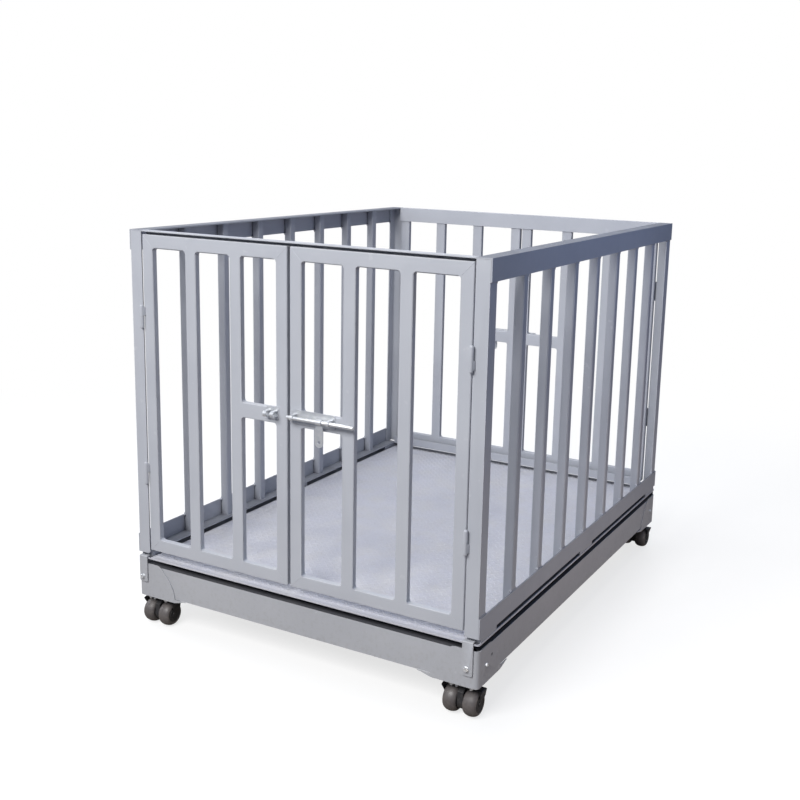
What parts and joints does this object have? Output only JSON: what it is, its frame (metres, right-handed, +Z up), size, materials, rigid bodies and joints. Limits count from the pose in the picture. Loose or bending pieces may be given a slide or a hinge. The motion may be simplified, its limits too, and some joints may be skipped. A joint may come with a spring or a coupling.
{
  "type": "livestock scale",
  "caption": "Barred cage weighing scale for livestock: tread-plate deck on a load-cell base with casters, side bars, and a bolted double gate at each end.",
  "frame": {"origin": "on the floor under the middle of the deck, centred on the bounding box", "axes": "+Z up; the front gate, the one with the offset seam, faces -Y; +Y is the cage's length and +X its width, to the right seen from the front"},
  "size_m": [1.1922, 1.587, 1.238],
  "materials": {
    "frame_paint": "smooth light grey paint with a slight sheen",
    "inner_paint": "light grey paint, flatter on the hidden members",
    "deck_paint": "grey paint over raised tread plate",
    "latch_zinc": "bright zinc plate",
    "load_cell_steel": "machined, satin",
    "plate_black": "black stoved paint with zinc nuts",
    "wheel_plastic": "glossy black moulded plastic",
    "box_plastic": "matte grey moulding"
  },
  "bodies": {
    "scale_frame": {"front_skirt_beam": "frame_paint", "rear_skirt_beam": "frame_paint", "left_skirt_beam": "frame_paint", "right_skirt_beam": "frame_paint", "front_left_shroud": "frame_paint", "front_right_shroud": "frame_paint", "rear_left_shroud": "frame_paint", "rear_right_shroud": "frame_paint", "front_cross_member": "inner_paint", "rear_cross_member": "inner_paint", "front_left_load_cell": "load_cell_steel", "front_right_load_cell": "load_cell_steel", "rear_left_load_cell": "load_cell_steel", "rear_right_load_cell": "load_cell_steel", "junction_box": "box_plastic", "deck_plate": "deck_paint", "deck_ribs": "inner_paint", "front_left_strap": "frame_paint", "front_right_strap": "frame_paint", "rear_left_strap": "frame_paint", "rear_right_strap": "frame_paint", "front_left_post": "frame_paint", "front_right_post": "frame_paint", "rear_left_post": "frame_paint", "rear_right_post": "frame_paint", "left_side_frame": "frame_paint", "right_side_frame": "frame_paint", "front_header": "frame_paint", "rear_header": "frame_paint", "rear_sill": "frame_paint", "front_left_caster_plate": "plate_black", "front_right_caster_plate": "plate_black", "rear_left_caster_plate": "plate_black", "rear_right_caster_plate": "plate_black"},
    "front_left_door": {"front_left_door": "frame_paint", "front_bolt_keeper": "latch_zinc"},
    "front_right_door": {"front_right_door": "frame_paint", "front_bolt_guide": "latch_zinc"},
    "rear_right_door": {"rear_right_door": "frame_paint", "rear_bolt_keeper": "latch_zinc"},
    "rear_left_door": {"rear_left_door": "frame_paint", "rear_bolt_guide": "latch_zinc"},
    "front_bolt_rod": {"front_bolt_rod": "latch_zinc"},
    "rear_bolt_rod": {"rear_bolt_rod": "latch_zinc"},
    "front_hasp_tongue": {"front_hasp_tongue": "latch_zinc"},
    "rear_hasp_tongue": {"rear_hasp_tongue": "latch_zinc"},
    "front_left_caster_hood": {"front_left_caster_hood": "wheel_plastic"},
    "front_left_caster_wheel_a": {"front_left_caster_wheel_a": "wheel_plastic"},
    "front_left_caster_wheel_b": {"front_left_caster_wheel_b": "wheel_plastic"},
    "front_right_caster_hood": {"front_right_caster_hood": "wheel_plastic"},
    "front_right_caster_wheel_a": {"front_right_caster_wheel_a": "wheel_plastic"},
    "front_right_caster_wheel_b": {"front_right_caster_wheel_b": "wheel_plastic"},
    "rear_left_caster_hood": {"rear_left_caster_hood": "wheel_plastic"},
    "rear_left_caster_wheel_a": {"rear_left_caster_wheel_a": "wheel_plastic"},
    "rear_left_caster_wheel_b": {"rear_left_caster_wheel_b": "wheel_plastic"},
    "rear_right_caster_hood": {"rear_right_caster_hood": "wheel_plastic"},
    "rear_right_caster_wheel_a": {"rear_right_caster_wheel_a": "wheel_plastic"},
    "rear_right_caster_wheel_b": {"rear_right_caster_wheel_b": "wheel_plastic"}
  },
  "joints": [
    {"name": "front_left_door_hinge", "type": "hinge", "parent": "scale_frame", "child": "front_left_door", "pos_m": [-0.544, -0.7715, 0.7415], "axis": [0, 0, -1], "range_deg": [0, 180]},
    {"name": "front_right_door_hinge", "type": "hinge", "parent": "scale_frame", "child": "front_right_door", "pos_m": [0.544, -0.7715, 0.7415], "axis": [0, 0, 1], "range_deg": [0, 180]},
    {"name": "rear_right_door_hinge", "type": "hinge", "parent": "scale_frame", "child": "rear_right_door", "pos_m": [0.544, 0.7715, 0.7415], "axis": [0, 0, -1], "range_deg": [0, 180]},
    {"name": "rear_left_door_hinge", "type": "hinge", "parent": "scale_frame", "child": "rear_left_door", "pos_m": [-0.544, 0.7715, 0.7415], "axis": [0, 0, 1], "range_deg": [0, 180]},
    {"name": "front_bolt_slide", "type": "slide", "parent": "front_right_door", "child": "front_bolt_rod", "axis": [-1, 0, 0], "range_m": [0, 0.07]},
    {"name": "rear_bolt_slide", "type": "slide", "parent": "rear_left_door", "child": "rear_bolt_rod", "axis": [1, 0, 0], "range_m": [0, 0.07]},
    {"name": "front_hasp_swing", "type": "hinge", "parent": "front_bolt_rod", "child": "front_hasp_tongue", "pos_m": [0.0975, -0.785, 0.757], "axis": [-1, 0, 0], "range_deg": [-8, 150]},
    {"name": "rear_hasp_swing", "type": "hinge", "parent": "rear_bolt_rod", "child": "rear_hasp_tongue", "pos_m": [-0.118, 0.785, 0.757], "axis": [1, 0, 0], "range_deg": [-8, 150]},
    {"name": "front_left_caster_swivel", "type": "hinge", "parent": "scale_frame", "child": "front_left_caster_hood", "pos_m": [-0.533, -0.705, 0.09], "axis": [0, 0, 1], "continuous": true},
    {"name": "front_left_caster_roll_a", "type": "hinge", "parent": "front_left_caster_hood", "child": "front_left_caster_wheel_a", "pos_m": [-0.563, -0.73, 0.0375], "axis": [1, 0, 0], "continuous": true},
    {"name": "front_left_caster_roll_b", "type": "hinge", "parent": "front_left_caster_hood", "child": "front_left_caster_wheel_b", "pos_m": [-0.503, -0.73, 0.0375], "axis": [1, 0, 0], "continuous": true},
    {"name": "front_right_caster_swivel", "type": "hinge", "parent": "scale_frame", "child": "front_right_caster_hood", "pos_m": [0.533, -0.705, 0.09], "axis": [0, 0, 1], "continuous": true},
    {"name": "front_right_caster_roll_a", "type": "hinge", "parent": "front_right_caster_hood", "child": "front_right_caster_wheel_a", "pos_m": [0.503, -0.73, 0.0375], "axis": [1, 0, 0], "continuous": true},
    {"name": "front_right_caster_roll_b", "type": "hinge", "parent": "front_right_caster_hood", "child": "front_right_caster_wheel_b", "pos_m": [0.563, -0.73, 0.0375], "axis": [1, 0, 0], "continuous": true},
    {"name": "rear_left_caster_swivel", "type": "hinge", "parent": "scale_frame", "child": "rear_left_caster_hood", "pos_m": [-0.533, 0.705, 0.09], "axis": [0, 0, 1], "continuous": true},
    {"name": "rear_left_caster_roll_a", "type": "hinge", "parent": "rear_left_caster_hood", "child": "rear_left_caster_wheel_a", "pos_m": [-0.503, 0.73, 0.0375], "axis": [1, 0, 0], "continuous": true},
    {"name": "rear_left_caster_roll_b", "type": "hinge", "parent": "rear_left_caster_hood", "child": "rear_left_caster_wheel_b", "pos_m": [-0.563, 0.73, 0.0375], "axis": [1, 0, 0], "continuous": true},
    {"name": "rear_right_caster_swivel", "type": "hinge", "parent": "scale_frame", "child": "rear_right_caster_hood", "pos_m": [0.533, 0.705, 0.09], "axis": [0, 0, 1], "continuous": true},
    {"name": "rear_right_caster_roll_a", "type": "hinge", "parent": "rear_right_caster_hood", "child": "rear_right_caster_wheel_a", "pos_m": [0.563, 0.73, 0.0375], "axis": [1, 0, 0], "continuous": true},
    {"name": "rear_right_caster_roll_b", "type": "hinge", "parent": "rear_right_caster_hood", "child": "rear_right_caster_wheel_b", "pos_m": [0.503, 0.73, 0.0375], "axis": [1, 0, 0], "continuous": true}
  ]
}
